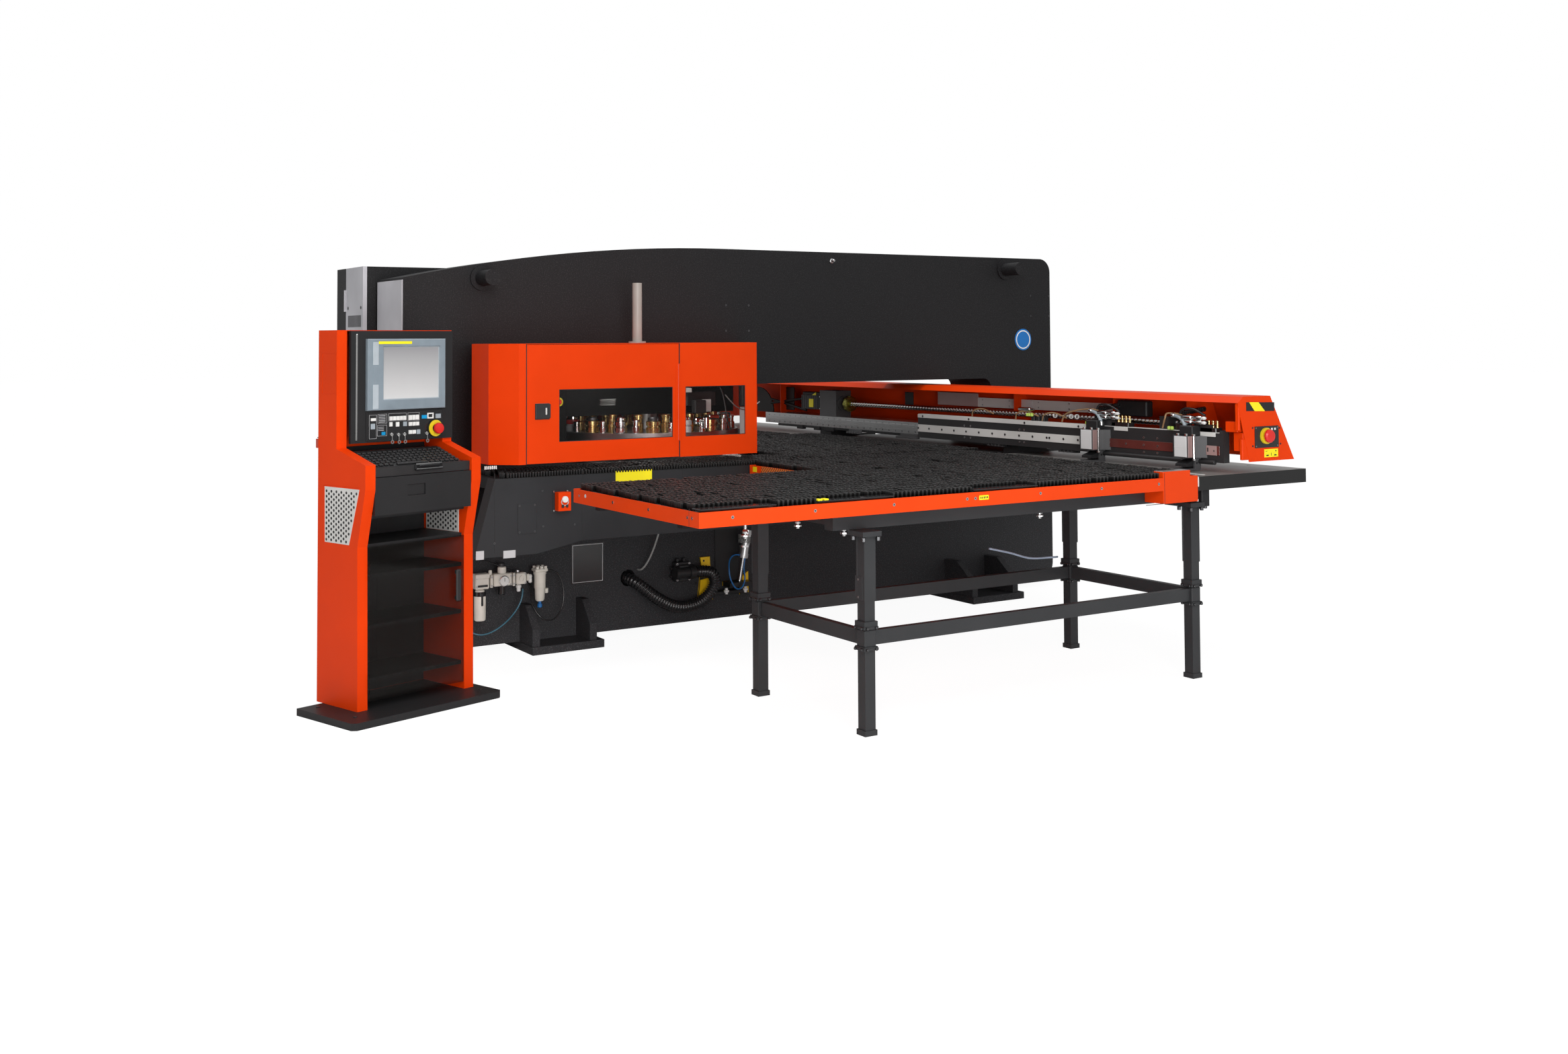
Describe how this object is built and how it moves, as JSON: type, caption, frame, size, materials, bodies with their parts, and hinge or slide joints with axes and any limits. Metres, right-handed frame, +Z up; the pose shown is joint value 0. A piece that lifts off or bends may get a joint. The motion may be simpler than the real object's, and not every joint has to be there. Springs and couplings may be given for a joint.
{
  "type": "cnc turret punch press",
  "caption": "Bridge-frame CNC turret punch press with brush tables, a sheet beam with clamps, and a free-standing operator console.",
  "frame": {"origin": "middle of the front foot's underside, on the floor in the punching plane", "axes": "+Z up, +Y along the bridge frame towards the sheet beam, +X towards the operator's side"},
  "size_m": [5.2842, 4.9793, 2.09],
  "materials": {
    "black_paint": "wrinkle, matt",
    "light_paint": "fine texture",
    "red_paint": "satin",
    "bright_steel": "machined",
    "dark_steel": "satin",
    "tool_steel": "gold coated",
    "bristles": "nylon bristles",
    "clear_pane": "clear polycarbonate",
    "smoked_pane": "smoked",
    "screen_glass": "gloss",
    "button_plastic": "gloss",
    "white_plastic": "satin",
    "black_plastic": "satin",
    "drawer_paint": "satin",
    "hose_rubber": "ribbed",
    "tube_plastic": "clear blue",
    "yellow_paint": "satin"
  },
  "bodies": {
    "machine": {"bridge_frame": "black_paint", "frame_end_cover": "light_paint", "front_foot": "black_paint", "rear_foot": "black_paint", "lifting_bosses": "bright_steel", "electrical_cabinet": "black_paint", "turret_cover": "red_paint", "far_cover": "red_paint", "side_window": "clear_pane", "steel_post": "bright_steel", "ram_housing": "bright_steel", "turret_bearings": "bright_steel", "centre_table": "dark_steel", "centre_brushes": "bristles", "table_skirts": "black_paint", "button_box": "red_paint", "air_unit": "white_plastic", "air_filter": "white_plastic", "air_tubes": "tube_plastic", "ribbed_hose": "hose_rubber", "hose_elbow": "black_paint", "signal_cable": "black_plastic", "air_cylinder": "bright_steel", "cylinder_brackets": "yellow_paint", "y_rails": "bright_steel", "leg_stands": "black_paint", "console_base": "dark_steel", "console_body": "red_paint", "console_front": "black_paint", "console_screen": "screen_glass", "console_shelves": "black_paint"},
    "cabinet_door_body": {"cabinet_door": "light_paint"},
    "turret_door_body": {"turret_door": "red_paint", "door_window": "clear_pane"},
    "latch_body": {"door_latch": "bright_steel"},
    "ram_body": {"ram": "bright_steel"},
    "upper_turret_body": {"upper_turret": "bright_steel", "punch_holders": "tool_steel"},
    "lower_turret_body": {"lower_turret": "bright_steel"},
    "feed_button_body": {"feed_button": "white_plastic"},
    "knob_body": {"regulator_knob": "black_plastic"},
    "y_slide_body": {"carriage_base": "dark_steel", "x_beam": "dark_steel", "beam_cover": "red_paint", "screw_motor": "dark_steel", "near_table": "red_paint", "far_table": "red_paint", "table_brushes": "bristles", "slab_tables": "black_paint"},
    "beam_stop_body": {"beam_stop_button": "button_plastic"},
    "screw_body": {"ball_screw": "bright_steel"},
    "x_carriage_body": {"x_carriage": "dark_steel", "clamp_bodies": "bright_steel", "valve_bank": "black_plastic"},
    "jaw_near_body": {"clamp_jaw_near": "bright_steel"},
    "jaw_far_body": {"clamp_jaw_far": "bright_steel"},
    "console_stop_body": {"console_stop_button": "button_plastic"},
    "keyboard_body": {"keyboard_drawer": "drawer_paint"},
    "drawer_body": {"console_drawer": "drawer_paint"},
    "console_door_body": {"console_door": "smoked_pane"}
  },
  "joints": [
    {"name": "cabinet_door_hinge", "type": "hinge", "parent": "machine", "child": "cabinet_door_body", "pos_m": [-0.542, -0.884, 1], "axis": [0, 0, -1], "range_deg": [0, 110]},
    {"name": "turret_door_hinge", "type": "hinge", "parent": "machine", "child": "turret_door_body", "pos_m": [0.864, 0.38, 1.28], "axis": [0, 0, 1], "range_deg": [0, 100]},
    {"name": "latch_hinge", "type": "hinge", "parent": "turret_door_body", "child": "latch_body", "pos_m": [0.8643, -0.387, 1.247], "axis": [0, 0, -1], "range_deg": [0, 25]},
    {"name": "ram_stroke", "type": "slide", "parent": "machine", "child": "ram_body", "axis": [0, 0, 1], "range_m": [-0.037, 0]},
    {"name": "upper_turret_turn", "type": "hinge", "parent": "machine", "child": "upper_turret_body", "pos_m": [0, 0.64, 1.1], "axis": [0, 0, 1], "continuous": true},
    {"name": "lower_turret_turn", "type": "hinge", "parent": "machine", "child": "lower_turret_body", "pos_m": [0, 0.64, 0.9], "axis": [0, 0, 1], "continuous": true},
    {"name": "feed_button_press", "type": "slide", "parent": "machine", "child": "feed_button_body", "axis": [-1, 0, 0], "range_m": [0, 0.003], "stiffness_N_per_m": 800},
    {"name": "regulator_turn", "type": "hinge", "parent": "machine", "child": "knob_body", "pos_m": [0.29, -0.33, 0.44], "axis": [0, 0, 1], "range_deg": [-180, 180]},
    {"name": "y_slide", "type": "slide", "parent": "machine", "child": "y_slide_body", "axis": [0, 1, 0], "range_m": [-1.17, 0], "deforming": ["centre_brushes"]},
    {"name": "beam_stop_press", "type": "slide", "parent": "y_slide_body", "child": "beam_stop_body", "axis": [-1, 0, 0], "range_m": [0, 0.004]},
    {"name": "screw_turn", "type": "hinge", "parent": "y_slide_body", "child": "screw_body", "pos_m": [0, 2.53, 1.152], "axis": [1, 0, 0], "range_deg": [-22500, 0]},
    {"name": "x_slide", "type": "slide", "parent": "y_slide_body", "child": "x_carriage_body", "axis": [1, 0, 0], "range_m": [-2.5, 0]},
    {"name": "jaw_near_pivot", "type": "hinge", "parent": "x_carriage_body", "child": "jaw_near_body", "pos_m": [2.338, 2.3974, 0.974], "axis": [1, 0, 0], "range_deg": [0, 7]},
    {"name": "jaw_far_pivot", "type": "hinge", "parent": "x_carriage_body", "child": "jaw_far_body", "pos_m": [1.694, 2.3974, 0.974], "axis": [1, 0, 0], "range_deg": [0, 7]},
    {"name": "console_stop_press", "type": "slide", "parent": "machine", "child": "console_stop_body", "axis": [-0.9548, -0.2974, 0], "range_m": [0, 0.004]},
    {"name": "keyboard_slide", "type": "slide", "parent": "machine", "child": "keyboard_body", "axis": [0.9548, 0.2974, 0], "range_m": [0, 0.2]},
    {"name": "drawer_slide", "type": "slide", "parent": "machine", "child": "drawer_body", "axis": [0.9548, 0.2974, 0], "range_m": [0, 0.26]},
    {"name": "console_door_hinge", "type": "hinge", "parent": "machine", "child": "console_door_body", "pos_m": [1.15363, -1.26839, 0.4], "axis": [0, 0, -1], "range_deg": [0, 100]}
  ],
  "couplings": [
    {"joint": "lower_turret_turn", "follows": "upper_turret_turn", "ratio": 1},
    {"joint": "screw_turn", "follows": "x_slide", "rad_per_m": 157.08}
  ]
}
